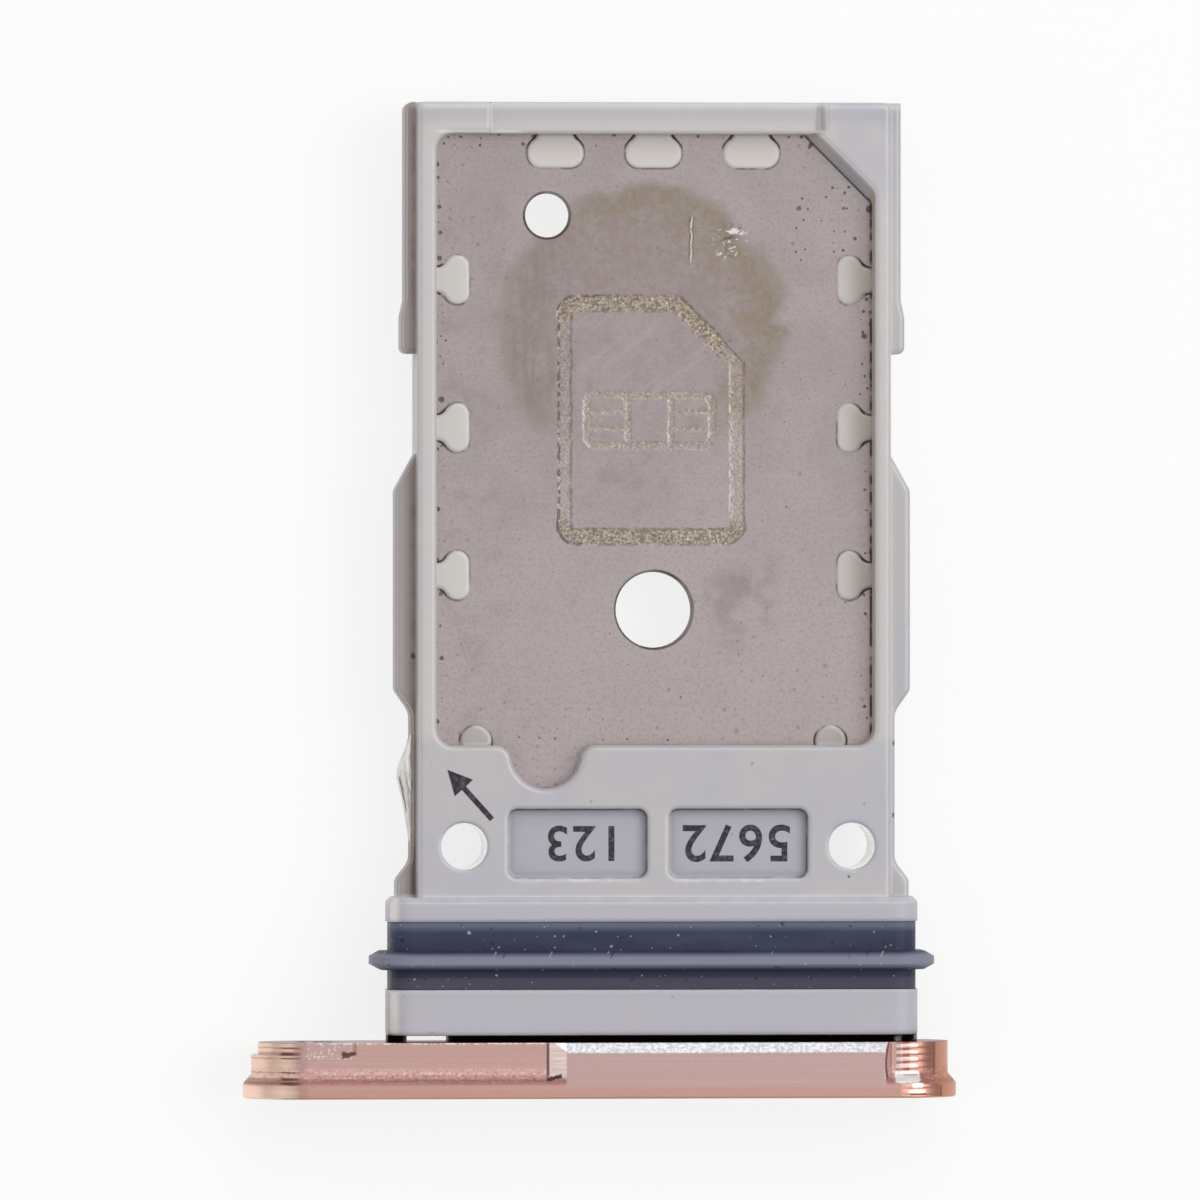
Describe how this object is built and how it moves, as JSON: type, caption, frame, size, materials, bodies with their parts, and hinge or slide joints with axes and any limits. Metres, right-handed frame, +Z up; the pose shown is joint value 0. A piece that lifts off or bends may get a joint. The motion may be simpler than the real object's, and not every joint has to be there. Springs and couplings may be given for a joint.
{
  "type": "sim card tray",
  "caption": "Slide-in tray that carries a nano SIM card on each side of a steel divider, with a sealed collar and an anodised end cap with an eject hole",
  "frame": {"origin": "middle of the bounding box in plan, on the lowest faces of the end cap", "axes": "+X across the tray towards the cap's short overhang, +Y the way the tray goes in, +Z up out of the face that shows in the picture"},
  "size_m": [0.0146, 0.0204, 0.0025],
  "materials": {
    "frame_plastic": "fine satin moulding, light lavender grey",
    "plate_steel": "satin stainless sheet with an etched outline",
    "seal_silicone": "matt dark slate blue silicone",
    "cap_aluminium": "pink copper anodised, bead blasted, with bright machined chamfers"
  },
  "bodies": {
    "root": {"tray_frame": "frame_plastic", "floor_plate": "plate_steel", "seal_ring": "seal_silicone", "face_cap": "cap_aluminium"}
  },
  "joints": []
}
